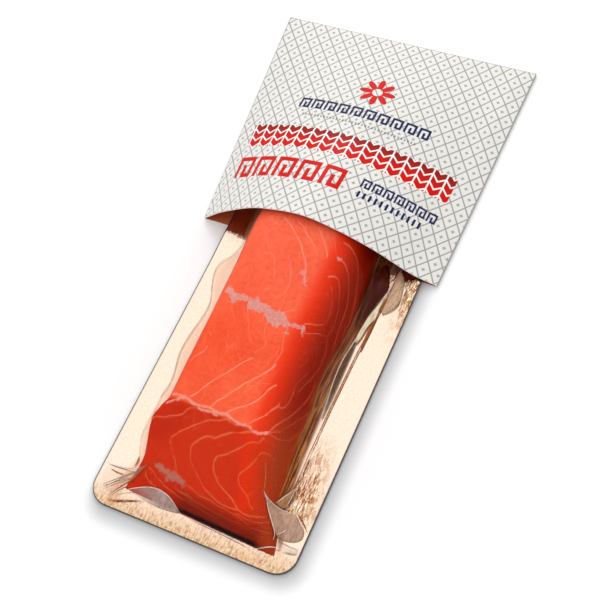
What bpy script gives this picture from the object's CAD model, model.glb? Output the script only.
"""A skin-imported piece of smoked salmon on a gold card, half inside a printed board sleeve.

Places are given in millimetres in the pack's layout: x = 0 is the middle of the card, y = 0 its
lower edge, +Y runs towards the sleeve's flat far end. lay() turns them into the frame's metres.
"""

import math

import bmesh
import bpy
import numpy as np
from mathutils import Matrix, Vector, noise


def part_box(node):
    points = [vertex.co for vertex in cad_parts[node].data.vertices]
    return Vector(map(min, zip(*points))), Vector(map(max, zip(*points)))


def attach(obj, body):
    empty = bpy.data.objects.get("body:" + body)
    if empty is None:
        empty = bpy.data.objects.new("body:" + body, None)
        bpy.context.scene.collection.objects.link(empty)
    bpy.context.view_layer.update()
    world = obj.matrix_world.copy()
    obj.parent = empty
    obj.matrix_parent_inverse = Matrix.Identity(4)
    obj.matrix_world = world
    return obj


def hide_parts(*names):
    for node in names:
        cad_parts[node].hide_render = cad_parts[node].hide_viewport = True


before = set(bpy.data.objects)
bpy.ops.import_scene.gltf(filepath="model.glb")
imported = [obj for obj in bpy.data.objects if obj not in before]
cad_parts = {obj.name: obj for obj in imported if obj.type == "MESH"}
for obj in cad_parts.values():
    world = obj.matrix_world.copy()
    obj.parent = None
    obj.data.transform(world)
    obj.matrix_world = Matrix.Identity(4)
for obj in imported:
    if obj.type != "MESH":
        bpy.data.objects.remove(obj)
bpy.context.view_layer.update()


# Camera: looks down on the pack from its lower right, turned a little about its own axis.

METRE = 0.001
CARD_LENGTH = 238.0
CAMERA_AZIMUTH = math.radians(39.548)
CAMERA_ELEVATION = math.radians(58.794)
CAMERA_ROLL = math.radians(-18.0)
CAMERA_DISTANCE = 602.2
CAMERA_TARGET = (-0.26, 123.1, 0.0)
CAMERA_LENS = 78.0
CAMERA_SENSOR = 36.0

card_low, card_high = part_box("gold_card")
CARD_MIDDLE_X = (card_low[0] + card_high[0]) / 2
CARD_END_Y = card_high[1]


def lay(points):
    """Layout points in millimetres, as an array of metres in the frame."""
    points = np.asarray(points, float)
    return np.stack(
        [
            points[..., 0] * METRE + CARD_MIDDLE_X,
            (points[..., 1] - CARD_LENGTH) * METRE + CARD_END_Y,
            points[..., 2] * METRE,
        ],
        axis=-1,
    )


back = Vector((
    math.sin(CAMERA_AZIMUTH) * math.cos(CAMERA_ELEVATION),
    -math.cos(CAMERA_AZIMUTH) * math.cos(CAMERA_ELEVATION),
    math.sin(CAMERA_ELEVATION),
))
level = Vector((math.cos(CAMERA_AZIMUTH), math.sin(CAMERA_AZIMUTH), 0.0))
side = level * math.cos(CAMERA_ROLL) + back.cross(level) * math.sin(CAMERA_ROLL)
up = back.cross(side)
eye = Vector(lay(CAMERA_TARGET)) + back * CAMERA_DISTANCE * METRE
camera = bpy.data.objects.new("camera", bpy.data.cameras.new("camera"))
bpy.context.scene.collection.objects.link(camera)
camera.matrix_world = Matrix((
    (side.x, up.x, back.x, eye.x),
    (side.y, up.y, back.y, eye.y),
    (side.z, up.z, back.z, eye.z),
    (0.0, 0.0, 0.0, 1.0),
))
camera.data.lens = CAMERA_LENS
camera.data.sensor_width = CAMERA_SENSOR
bpy.context.scene.camera = camera


# Gold card: a grey board laminated with gold foil on its upper face, die-cut with round corners.
# The board is the frame's own solid. The foil is a thin crinkled sheet that lies on it, set in a
# little from the cut edge, and it climbs with the board onto the sleeve's back panel.

CARD_WIDTH = 100.0
CARD_THICKNESS = 0.9
CARD_CORNER_RADIUS = 9.5
CARD_EDGE_SLANT = -0.02
RAMP_START_Y = 126.0
RAMP_END_Y = 146.0
RAMP_RISE = 0.8
FOIL_INSET = 0.38
FOIL_THICKNESS = 0.12
FOIL_LIFT = 0.03
FOIL_ROW = 0.8
FOIL_COLUMNS = 125
FINE_ROWS = 22
FINE_END_Y = 9.0
EDGE_STEEPNESS = 18
STRIP_WIDTH = 8
SEED_SHIFT = (17.3, 5.1, 9.7)

# Crinkles, as height and size, and where they are strong: the patch right of the fish, by its left,
# right, low and high side and how wide each fades, whose right side leans in, and soft spots by
# their middle, half width, half length and strength
COARSE_CRINKLES = (0.22, 3.2)
FINE_CRINKLES = (0.12, 1.5)
STRIP_CRINKLES = (0.03, 1.7)
SHEET_WAVES = (0.012, 14.0)
CRINKLE_STRETCH = 0.6
LOWEST_CRINKLE = -0.08
HIGHEST_CRINKLE = 0.16
PATCH_SIDES = (35.0, 51.5, 20, 66)
PATCH_FADES = (3.0, 7.0, 8, 26)
PATCH_LEAN = 0.12
PATCH_LEAN_Y = 30
CRINKLED_SPOTS = ((49, 143, 4.5, 17, 1.4), (36, 152, 3, 10, 1.0), (-41, 150, 8, 7, 0.35))

FOIL_GOLDS = ((1.0, 0.76, 0.60), (1.0, 0.81, 0.67))
FOIL_STRIP = (0.74, 0.47, 0.275)
FOIL_CRINKLED = (0.80, 0.50, 0.29)
FOIL_TICK = (0.20, 0.105, 0.05)
FOIL_GLINT = (1.0, 0.85, 0.68)
FOIL_FOLD = (0.40, 0.155, 0.05)
FOIL_LIT = (1.0, 0.86, 0.68)
BOARD_GREYS = ((0.030, 0.026, 0.024), (0.085, 0.075, 0.068))


def card_top(y):
    """Height of the card's upper face."""
    share = np.clip((y - RAMP_START_Y) / (RAMP_END_Y - RAMP_START_Y), 0.0, 1.0)
    return CARD_THICKNESS + RAMP_RISE * share * share * (3 - 2 * share)


def card_half_width(y, inset):
    """Half of the card's width at a station, less in its round corners."""
    near = np.minimum(y, CARD_LENGTH - y) - inset
    radius = CARD_CORNER_RADIUS - inset
    short = radius - np.sqrt(np.clip(radius**2 - np.clip(radius - near, 0.0, radius) ** 2, 0.0, None))
    return CARD_WIDTH / 2 - inset - short


def grid_mesh(name, points, attributes=None, ring=False, looped=False):
    """Mesh of quads through a grid of points (rows by columns), with point attributes."""
    rows, columns = points.shape[:2]
    index = np.arange(rows * columns).reshape(rows, columns)
    if ring:
        index = np.concatenate([index, index[:, :1]], axis=1)
    if looped:
        index = np.concatenate([index, index[:1]], axis=0)
    quads = np.stack([index[:-1, :-1], index[:-1, 1:], index[1:, 1:], index[1:, :-1]], axis=-1)
    mesh = bpy.data.meshes.new(name)
    mesh.from_pydata(points.reshape(-1, 3).tolist(), [], quads.reshape(-1, 4).tolist())
    for key, values in (attributes or {}).items():
        layer = mesh.attributes.new(key, "FLOAT", "POINT")
        layer.data.foreach_set("value", np.asarray(values, np.float32).ravel())
    mesh.shade_smooth()
    return mesh


def add_piece(name, mesh, materials):
    piece = bpy.data.objects.new(name, mesh)
    for material in materials:
        mesh.materials.append(material)
    bpy.context.scene.collection.objects.link(piece)
    return piece


def make_plain(piece):
    """Turns a piece with live modifiers into a plain mesh."""
    made = bpy.data.meshes.new_from_object(piece.evaluated_get(bpy.context.evaluated_depsgraph_get()))
    old = piece.data
    piece.modifiers.clear()
    piece.data = made
    made.name = piece.name
    bpy.data.meshes.remove(old)


def give_wall(piece, thickness, offset):
    """Gives a sheet its thickness, towards its underside at -1 and its upper side at 1."""
    wall = piece.modifiers.new("thickness", "SOLIDIFY")
    wall.thickness = thickness * METRE
    wall.offset = offset
    make_plain(piece)


def noise_field(points, height, size, seed):
    """Smooth noise at layout points, up to about a height either way, with features of a size."""
    flat = np.asarray(points, float).reshape(-1, points.shape[-1]) / size
    if flat.shape[1] == 2:
        flat = np.concatenate([flat, np.zeros((len(flat), 1))], axis=1)
    flat = flat + seed * np.array(SEED_SHIFT)
    return height * np.array([noise.noise(p) for p in flat.tolist()]).reshape(points.shape[:-1])


def give(made, values):
    """Sets a node's inputs, each to a constant or linked from a socket."""
    for key, value in values.items():
        if isinstance(value, bpy.types.NodeSocket):
            made.id_data.links.new(value, made.inputs[key])
        else:
            made.inputs[key].default_value = value


def node(tree, kind, values=None, **settings):
    """Adds a node with its settings and its inputs."""
    made = tree.nodes.new(kind)
    for key, value in settings.items():
        setattr(made, key, value)
    give(made, values or {})
    return made


def tree_of(values):
    """Node tree of the first socket among values that may be numbers or colours."""
    return next(value.id_data for value in values if isinstance(value, bpy.types.NodeSocket))


def calc(operation, *values):
    sum_node = node(tree_of(values), "ShaderNodeMath", dict(enumerate(values)), operation=operation)
    return sum_node.outputs[0]


def times(first, second):
    return calc("MULTIPLY", first, second)


def plus(*values):
    total = values[0]
    for value in values[1:]:
        total = calc("ADD", total, value)
    return total


def minus(first, second):
    return calc("SUBTRACT", first, second)


def mix_colour(factor, first, second):
    """Colour between two others, the first at 0 and the second at 1."""
    ends = [end if isinstance(end, bpy.types.NodeSocket) else (*end, 1.0) for end in (first, second)]
    values = {0: factor, 6: ends[0], 7: ends[1]}
    return node(tree_of(values.values()), "ShaderNodeMix", values, data_type="RGBA").outputs[2]


def step_between(value, start, end, low=0.0, high=1.0):
    """Smooth step of a value, from low at start to high at end."""
    limits = {0: value, 1: start, 2: end, 3: low, 4: high}
    return node(value.id_data, "ShaderNodeMapRange", limits, interpolation_type="SMOOTHSTEP").outputs[0]


def noise_texture(vector, scale, detail=2.0, roughness=0.5, distortion=0.0):
    values = {"Vector": vector, "Scale": scale, "Detail": detail, "Roughness": roughness}
    made = node(vector.id_data, "ShaderNodeTexNoise", values)
    made.inputs["Distortion"].default_value = distortion
    return made.outputs[0]


def drawn_out(place, along, turn=0.0, upwards=1.0):
    """Coordinates in which a texture is drawn out along the pack and turned."""
    values = {"Vector": place, "Scale": (1.0, along, upwards), "Rotation": (0, 0, turn)}
    return node(place.id_data, "ShaderNodeMapping", values).outputs[0]


def bumped(height, strength, distance):
    values = {"Height": height, "Strength": strength, "Distance": distance}
    return node(height.id_data, "ShaderNodeBump", values).outputs[0]


def attribute(tree, name):
    return node(tree, "ShaderNodeAttribute", attribute_name=name).outputs["Fac"]


def new_material(name):
    """Material with its node tree, its Principled shader and its object coordinates."""
    material = bpy.data.materials.new(name)
    material.use_nodes = True
    tree = material.node_tree
    place = node(tree, "ShaderNodeTexCoord").outputs["Object"]
    return material, tree, tree.nodes["Principled BSDF"], place


def crinkled(x, y):
    """How strongly the foil is crinkled, from 0 to 1: right of the fish and in a few soft spots."""
    left, right, low, high = PATCH_SIDES
    leaning = right - x - PATCH_LEAN * (y - PATCH_LEAN_Y)
    strength = 1.0
    for room, fade in zip((x - left, leaning, y - low, high - y), PATCH_FADES):
        strength = strength * np.clip(room / fade, 0, 1)
    for middle_x, middle_y, half_width, half_length, power in CRINKLED_SPOTS:
        from_middle = -(((x - middle_x) / half_width) ** 2) - ((y - middle_y) / half_length) ** 2
        strength = strength + power * np.exp(from_middle)
    return np.clip(strength, 0, 1)


near_edge = np.linspace(0, FINE_END_Y, FINE_ROWS)[:-1]
rows_y = np.concatenate([near_edge, np.arange(FINE_END_Y, CARD_LENGTH, FOIL_ROW), [CARD_LENGTH]])
rows_y = np.clip(rows_y, FOIL_INSET, CARD_LENGTH - FOIL_INSET)
across = np.linspace(-1, 1, FOIL_COLUMNS)
foil = np.zeros((len(rows_y), FOIL_COLUMNS, 3))
foil[..., 0] = card_half_width(rows_y, FOIL_INSET)[:, None] * across
foil[..., 1] = rows_y[:, None] + CARD_EDGE_SLANT * foil[..., 0] * (1 - rows_y[:, None] / CARD_LENGTH)
edge_fade = np.clip((1 - np.abs(across)) * EDGE_STEEPNESS, 0, 1)[None, :]
crinkle = crinkled(foil[..., 0], foil[..., 1])
stretched = foil[..., :2] * np.array([1.0, CRINKLE_STRETCH])
strip = np.exp(-((foil[..., 1] / STRIP_WIDTH) ** 2))
relief = crinkle * (noise_field(stretched, *COARSE_CRINKLES, 1) + noise_field(stretched, *FINE_CRINKLES, 2))
relief = relief + strip * noise_field(foil[..., :2], *STRIP_CRINKLES, 3)
relief = relief + noise_field(foil[..., :2], *SHEET_WAVES, 4)
relief = np.clip(relief, LOWEST_CRINKLE, HIGHEST_CRINKLE) * edge_fade
foil[..., 2] = card_top(rows_y)[:, None] + FOIL_LIFT + FOIL_THICKNESS + relief

foil_gold, tree, shader, place = new_material("gold foil")
strong = attribute(tree, "crinkle")
lower = attribute(tree, "strip")
drawn = drawn_out(place, 0.32, 0.12)
creases = noise_texture(drawn, 980.0, 2.0, 0.55, 0.3)
press = noise_texture(place, 800.0, 3.0, 0.6)
flakes = noise_texture(drawn, 760.0, 2.0, 0.6, 0.4)
height = times(plus(creases, flakes), plus(strong, 0.02))
height = calc("MULTIPLY_ADD", press, calc("MULTIPLY_ADD", lower, 0.30, 0.045), height)
tint = mix_colour(step_between(press, 0.35, 0.7), *FOIL_GOLDS)
tint = mix_colour(lower, tint, FOIL_STRIP)
tint = mix_colour(times(strong, 0.8), tint, FOIL_CRINKLED)
tick = noise_texture(drawn_out(place, 0.4, -0.3), 1100.0, 2.0, 0.6)
ticks = times(step_between(tick, 0.52, 0.62), calc("MULTIPLY_ADD", lower, 0.55, 0.02))
tint = mix_colour(ticks, tint, FOIL_TICK)
tint = mix_colour(times(step_between(tick, 0.46, 0.36), times(lower, 0.4)), tint, FOIL_GLINT)
tint = mix_colour(times(step_between(flakes, 0.47, 0.54), strong), tint, FOIL_FOLD)
tint = mix_colour(times(step_between(creases, 0.54, 0.64), strong), tint, FOIL_LIT)
give(shader, {
    "Base Color": tint,
    "Normal": bumped(height, 0.8, 0.0008),
    "Metallic": 1.0,
    "Roughness": 0.13,
})

foil_mesh = grid_mesh("gold_foil", lay(foil), {"crinkle": crinkle, "strip": strip})
gold_foil = add_piece("gold_foil", foil_mesh, [foil_gold])
give_wall(gold_foil, FOIL_THICKNESS, -1.0)
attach(gold_foil, "root")

board_grey, tree, shader, place = new_material("card board")
fibre = noise_texture(place, 1400.0, 4.0, 0.6)
give(shader, {"Base Color": mix_colour(fibre, *BOARD_GREYS), "Roughness": 0.55})
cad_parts["gold_card"].data.materials.clear()
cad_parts["gold_card"].data.materials.append(board_grey)


# Smoked salmon: one long piece of fillet, cut square at its sides and on a slant at its near end.
# The flesh is orange-red with thin pale sheets of fat between the flakes, a whitish seam along the
# edge of the slanted cut and two grey-pink patches of connective tissue.

# Sections over the card: y, left foot, left shoulder and its height, crown, right ridge and its
# height, right foot
FISH_SECTIONS = np.array((
    (9.0, -34.8, -34.2, 1.0, 0.2, 38.6, 1.0, 39.8),
    (12.0, -34.6, -33.4, 2.5, 0.3, 36.6, 2.6, 39.2),
    (18.0, -33.6, -31.4, 5.5, 0.5, 33.8, 5.8, 37.6),
    (24.0, -33.2, -30.2, 8.4, 0.7, 31.4, 9.0, 36.2),
    (30.0, -34.0, -31.2, 11.4, 0.9, 29.0, 12.0, 35.0),
    (39.0, -36.0, -32.4, 15.9, 1.2, 25.6, 16.8, 33.8),
    (45.5, -36.0, -29.6, 19.0, 1.4, 22.8, 19.9, 32.8),
    (49.5, -35.5, -27.0, 20.9, 1.8, 21.2, 21.3, 32.2),
    (54.0, -35.5, -26.6, 21.2, 2.2, 20.0, 21.4, 31.8),
    (70.0, -35.5, -26.8, 21.6, 3.0, 17.4, 21.2, 30.6),
    (87.0, -35.5, -27.0, 21.8, 3.6, 16.4, 20.8, 28.2),
    (115.0, -36.0, -27.6, 21.8, 4.8, 17.0, 20.0, 30.4),
    (138.0, -36.5, -28.4, 21.3, 5.8, 17.8, 18.6, 30.0),
    (150.0, -36.5, -28.8, 20.6, 6.0, 18.0, 17.6, 28.6),
    (160.0, -36.5, -28.8, 19.0, 5.3, 18.2, 16.2, 28.0),
    (185.0, -36.0, -28.6, 14.2, 4.1, 18.6, 12.0, 27.0),
    (222.0, -34.0, -28.0, 5.6, 2.0, 18.4, 4.8, 25.0),
    (228.0, -32.0, -27.0, 2.6, 1.2, 17.4, 2.4, 23.0),
))
TOE_Y = 9.0
HIDDEN_END_Y = 228.0
CREASE_Y = 49.5
SKEW_END_Y = 80.0
FISH_SKEW = -0.06
FISH_GAP = 0.35
SIDE_STEPS = 44
TOP_STEPS = 118
ROUNDING_PASSES = 90
UNDERSIDE_STEPS = 14
TOE_END_Y = 23.0
SEEN_END_Y = 152.0
TOE_ROW = 0.25
SEEN_ROW = 0.5
HIDDEN_ROW = 3.0

# Distance that stands for no line or fold anywhere near
FAR_AWAY = 9.0

# Waves, as height and size: how far the fat lines stray, and how the skin swells
BROAD_STRAY = (0.55, 5.0)
FINE_STRAY = (0.22, 1.6)
BROAD_SWELL = (0.30, 14.0)
FINE_SWELL = (0.10, 5.0)
FAT_GROOVE = 0.10
SEAM_RIDGE = 0.16
TISSUE_RISE = 0.12
STRAND_EDGE = 0.9
SOFT_EDGE = 1.2
RELIEF_FADE = 6.0

# Fat sheets where they meet the surface: width and strength of the line, then its points as
# millimetres across the fish from the middle of its back and along it from the card's lower edge
FAT_LINES = (
    (1.0, 1.0, ((-9.2, 148.0), (-5.1, 145.6), (-1.1, 142.0), (2.9, 138.0), (6.5, 134.0), (9.4, 130.4),
     (11.1, 125.8), (13.2, 120.8))),
    (0.9, 0.9, ((-1.1, 147.2), (2.6, 145.0), (6.2, 141.8), (9.5, 138.6), (12.5, 135.6))),
    (0.9, 0.9, ((7.8, 148.4), (10.8, 145.2), (13.8, 141.8), (16.0, 138.8), (17.5, 136.0))),
    (0.6, 0.6, ((16.2, 147.2), (18.9, 142.8), (21.2, 138.6))),
    (1.0, 0.9, ((22.0, 138.6), (23.7, 139.0), (27.7, 137.6), (31.1, 134.6), (34.1, 129.8), (36.7, 124.4),
     (38.2, 118.0), (38.6, 110.8), (39.5, 106.4), (41.9, 100.8), (42.7, 96.6), (42.9, 90.4),
     (42.9, 85.6), (42.8, 78.8))),
    (1.0, 0.8, ((21.4, 147.0), (24.7, 147.2), (28.3, 146.0), (32.2, 143.8), (35.2, 139.0), (38.3, 132.8),
     (40.4, 127.6), (42.0, 120.0), (42.0, 112.6), (43.9, 106.2))),
    (0.9, 0.8, ((21.1, 128.2), (22.0, 129.0), (24.6, 130.6), (27.4, 129.4), (30.3, 125.4), (32.9, 120.6),
     (34.9, 114.0), (35.2, 108.2), (34.4, 104.8), (37.0, 101.2), (38.4, 97.6), (39.2, 91.8),
     (38.5, 87.0), (36.0, 81.4), (32.4, 75.0))),
    (0.6, 0.5, ((40.3, 138.4), (42.9, 133.4), (44.7, 124.8), (43.6, 115.8))),
    (0.8, 0.7, ((21.3, 102.2), (27.4, 105.6), (30.3, 109.2), (31.0, 113.2), (29.6, 118.2), (27.1, 122.6),
     (23.9, 125.2))),
    (0.8, 0.7, ((22.8, 99.0), (25.6, 100.2), (28.9, 103.0), (33.8, 104.0))),
    (0.8, 0.8, ((-15.9, 147.6), (-13.2, 144.6), (-10.2, 143.6))),
    (0.6, 0.6, ((-7.6, 138.8), (-5.0, 136.6), (-2.5, 133.2))),
    (0.7, 0.6, ((-16.1, 141.6), (-14.6, 137.4), (-11.2, 133.8), (-8.2, 130.0), (-5.0, 127.4),
     (-2.8, 123.2), (-0.7, 117.0))),
    (0.6, 0.5, ((-12.0, 120.8), (-7.4, 118.2), (-4.5, 116.0))),
    (0.6, 0.5, ((-15.6, 119.2), (-16.2, 117.0), (-14.7, 111.8))),
    (0.7, 0.6, ((0.7, 130.0), (4.3, 125.8), (6.4, 120.6), (7.4, 117.6), (7.7, 113.0), (6.3, 110.0),
     (4.2, 108.6))),
    (0.6, 0.5, ((5.3, 123.2), (8.2, 121.6), (11.7, 118.4), (13.8, 114.6), (15.2, 111.2))),
    (0.8, 0.8, ((9.7, 102.6), (12.2, 104.2), (14.7, 106.8))),
    (0.7, 0.7, ((-2.1, 110.0), (-0.3, 111.8), (0.0, 113.0))),
    (0.6, 0.7, ((23.7, 120.4), (26.0, 120.6))),
    (0.9, 0.9, ((-14.4, 52.0), (-11.3, 55.0), (-9.7, 57.8), (-7.8, 60.6), (-5.6, 63.6), (-2.8, 66.2),
     (0.0, 69.6), (2.1, 72.2), (4.1, 75.8), (6.5, 78.4))),
    (0.7, 0.6, ((7.2, 80.4), (6.1, 81.6), (8.2, 83.2), (9.5, 85.8), (9.2, 88.0), (6.1, 91.2), (5.8, 95.8))),
    (1.1, 1.0, ((-3.4, 50.4), (-1.5, 53.4), (0.7, 56.2), (2.1, 57.8), (3.5, 60.4), (6.0, 62.4),
     (7.7, 65.8), (10.4, 69.0), (12.8, 72.2), (14.8, 74.8), (16.5, 77.2), (17.2, 79.6))),
    (0.7, 0.7, ((16.9, 80.4), (17.2, 84.2), (15.8, 90.6), (15.5, 92.8))),
    (1.0, 1.0, ((4.8, 50.8), (6.2, 52.8), (8.7, 55.0), (11.2, 56.4), (12.9, 58.6), (15.3, 61.2),
     (17.2, 64.6), (18.9, 68.2), (21.0, 71.4))),
    (1.0, 0.9, ((15.7, 50.6), (16.9, 52.4), (19.3, 54.8), (21.4, 56.8), (22.7, 60.2), (25.2, 63.6),
     (25.2, 65.8))),
    (0.9, 0.9, ((25.3, 63.4), (27.8, 64.4), (29.9, 66.6), (31.0, 70.2), (30.3, 73.6), (29.6, 76.4))),
    (1.0, 0.9, ((24.8, 51.0), (26.3, 54.0), (29.2, 58.2), (32.9, 62.4), (35.6, 67.8), (38.2, 71.8),
     (39.7, 76.0), (40.8, 83.8))),
    (0.8, 0.8, ((24.8, 51.0), (29.4, 54.0), (33.1, 57.0), (36.9, 61.6), (40.1, 67.2), (43.4, 71.2))),
    (0.8, 0.7, ((25.7, 51.0), (30.7, 51.6), (36.0, 54.0), (39.8, 57.2), (42.5, 61.8))),
    (0.7, 0.6, ((23.8, 47.6), (25.6, 48.0), (29.9, 48.0), (34.4, 48.6), (38.5, 50.6), (42.2, 53.4))),
    (0.6, 0.5, ((26.3, 91.4), (27.9, 92.4), (30.5, 91.0), (30.4, 87.8), (28.2, 84.6))),
    (0.7, 0.6, ((27.6, 99.2), (31.3, 98.2), (33.9, 95.8), (35.4, 91.8), (34.7, 86.4), (32.6, 81.6),
     (30.1, 77.4))),
    (0.9, 0.8, ((-20.6, 67.8), (-20.2, 70.2), (-18.4, 72.2), (-15.9, 74.4), (-15.5, 77.0))),
    (0.5, 0.5, ((-5.8, 76.0), (-4.8, 80.6), (-2.7, 83.8))),
    (0.6, 0.6, ((-5.8, 99.8), (-3.4, 96.0), (-1.0, 92.0), (0.7, 88.0), (4.1, 84.2))),
    (0.6, 0.5, ((-14.5, 100.0), (-11.6, 96.0), (-7.8, 91.6))),
    (1.0, 1.0, ((-30.6, 38.6), (-23.2, 40.4), (-19.7, 42.0), (-15.8, 43.4), (-13.8, 44.4), (-13.2, 46.6),
     (-12.1, 47.8), (-8.8, 48.4), (-6.1, 48.4), (-3.0, 48.8))),
    (1.0, 1.0, ((-13.3, 21.4), (-14.8, 26.4), (-17.0, 28.8), (-17.8, 31.0), (-18.2, 33.0), (-17.6, 34.8),
     (-14.7, 36.4), (-10.9, 39.2), (-7.0, 41.8), (-4.2, 44.2), (-1.6, 46.2), (2.0, 47.0), (5.0, 48.6),
     (7.7, 48.2), (11.5, 48.2))),
    (0.65, 1.0, ((-12.6, 19.0), (-12.4, 16.6), (-8.9, 16.0), (-3.2, 14.6), (2.7, 13.2), (8.7, 12.2),
     (14.3, 11.4))),
    (1.3, 1.0, ((-5.1, 36.0), (-2.7, 38.6), (0.9, 40.0), (3.6, 40.2), (6.1, 42.4), (9.5, 44.8),
     (13.4, 45.8), (15.4, 47.2), (18.6, 48.0), (22.7, 49.2))),
    (0.9, 0.9, ((-5.1, 36.0), (-7.4, 33.8), (-7.5, 32.6), (-7.5, 29.4), (-6.2, 27.4), (-3.8, 25.0),
     (-1.5, 22.4), (2.5, 20.6), (6.0, 19.0), (10.1, 18.4), (15.2, 18.8), (19.2, 19.0))),
    (1.1, 1.0, ((23.8, 48.2), (23.3, 45.4), (20.7, 45.0), (18.2, 43.6), (15.6, 40.6), (12.3, 38.2),
     (8.8, 35.6), (5.1, 33.8), (3.7, 32.0), (3.8, 29.6), (5.2, 26.6), (7.7, 24.6), (11.1, 23.2),
     (14.2, 21.8), (17.0, 19.8), (19.7, 18.6), (24.3, 18.6), (28.3, 19.6), (30.6, 20.6))),
    (1.0, 0.9, ((32.9, 42.4), (30.3, 43.4), (27.4, 43.2), (25.2, 42.0), (24.1, 40.2), (24.0, 38.6),
     (21.6, 36.2), (18.2, 33.0), (16.4, 30.6), (16.5, 28.6), (18.1, 26.8), (21.0, 25.4), (22.2, 23.8),
     (22.9, 22.4), (24.5, 21.6))),
    (0.6, 0.5, ((21.9, 25.6), (24.1, 28.4), (26.2, 30.0))),
    (0.65, 1.0, ((-27.7, 20.2), (-24.7, 18.8), (-21.0, 17.4), (-17.8, 15.6), (-13.2, 14.6), (-7.5, 14.0),
     (-1.6, 13.8), (4.9, 13.0), (9.8, 12.6))),
    (0.65, 1.0, ((-29.1, 18.4), (-27.6, 15.8), (-24.9, 14.6), (-21.7, 14.6))),
    (0.65, 1.0, ((-8.0, 19.8), (-4.5, 18.8), (0.5, 17.8), (5.1, 17.8), (10.3, 17.4), (15.4, 17.2),
     (18.1, 16.4), (24.1, 15.6))),
    (0.65, 1.0, ((-11.4, 16.4), (-6.3, 16.0), (0.0, 15.2), (6.9, 14.6), (11.2, 14.0), (16.5, 14.2),
     (20.2, 14.2), (23.5, 14.0), (26.8, 13.6), (31.7, 13.2))),
    (0.65, 1.0, ((17.0, 17.2), (22.6, 17.2), (26.2, 17.2), (30.3, 18.4), (33.0, 19.8))),
    (0.65, 1.0, ((24.3, 14.8), (29.2, 15.4), (34.7, 16.0))),
    (0.65, 1.0, ((14.3, 11.4), (17.7, 11.2), (21.0, 11.2))),
    (0.6, 0.6, ((-26.9, 31.0), (-25.9, 28.4), (-22.4, 26.0), (-19.6, 24.8))),
)

# Whitish strands of the seam along the edge of the slanted cut, as the fat sheets
SEAM_STRANDS = (
    (1.6, 1.0, ((-23.1, 50.6), (-19.1, 50.6), (-14.9, 50.8), (-12.4, 50.0), (-8.7, 49.4), (-4.1, 50.6),
     (0.0, 49.4), (4.5, 50.6), (6.4, 49.8), (11.0, 49.2), (15.1, 49.4), (18.0, 48.6), (21.8, 48.6),
     (24.4, 50.6))),
    (1.3, 0.8, ((-24.1, 46.2), (-20.6, 47.8), (-18.9, 49.4), (-14.9, 50.8))),
    (1.1, 0.8, ((-8.4, 48.4), (-5.4, 48.4), (-2.3, 48.6), (1.1, 48.8))),
)

# Outlines of the grey-pink patches, across and along
TISSUE = (
    ((-21.1, 107.6), (-17.1, 107.8), (-14.9, 105.2), (-10.4, 105.6), (-7.2, 104.6), (-3.1, 105.4),
     (-0.3, 104.0), (3.4, 104.2), (6.2, 103.0), (10.8, 103.2), (13.2, 100.8), (16.0, 99.8),
     (20.0, 100.8), (20.9, 102.4), (22.4, 100.8), (22.7, 97.2), (21.9, 96.6), (20.8, 99.2), (16.3, 98.2),
     (14.2, 97.2), (12.1, 96.8), (8.6, 95.2), (5.1, 96.8), (2.7, 99.8), (0.0, 99.0), (-1.7, 99.2),
     (-5.1, 99.0), (-7.2, 102.4), (-11.0, 102.0), (-13.1, 99.8), (-15.2, 100.4), (-17.7, 104.2),
     (-20.7, 105.8)),
    ((13.8, 96.0), (15.6, 96.4), (16.3, 94.6), (15.2, 94.2)),
    ((9.7, 125.6), (10.8, 126.0), (14.3, 119.6), (13.5, 118.6)),
    ((21.6, 139.0), (23.7, 140.0), (24.1, 138.8), (22.4, 137.6)),
    ((-25.3, 22.4), (-22.7, 23.2), (-19.0, 22.6), (-15.6, 22.0), (-11.7, 22.0), (-8.9, 20.8),
     (-7.6, 19.0), (-9.1, 18.4), (-13.6, 19.2), (-17.9, 17.8), (-18.5, 19.6), (-21.9, 20.2),
     (-24.2, 20.8)),
)


def smooth_line(places, values, at):
    """Smooth curve through given values, without overshoot."""
    steps = np.diff(values) / np.diff(places)
    slopes = np.empty(len(places))
    slopes[0], slopes[-1] = steps[0], steps[-1]
    same = steps[:-1] * steps[1:] > 0
    total = np.where(same, steps[:-1] + steps[1:], 1.0)
    slopes[1:-1] = np.where(same, 2 * steps[:-1] * steps[1:], 0.0) / total
    at = np.clip(at, places[0], places[-1])
    i = np.clip(np.searchsorted(places, at, side="right") - 1, 0, len(places) - 2)
    span = places[i + 1] - places[i]
    t = (at - places[i]) / span
    return (
        values[i] * (2 * t**3 - 3 * t**2 + 1)
        + slopes[i] * span * (t**3 - 2 * t**2 + t)
        + values[i + 1] * (3 * t**2 - 2 * t**3)
        + slopes[i + 1] * span * (t**3 - t**2)
    )


def fish_skew(y):
    return FISH_SKEW * np.clip((SKEW_END_Y - y) / (SKEW_END_Y - CREASE_Y), 0.0, 1.0)


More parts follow.
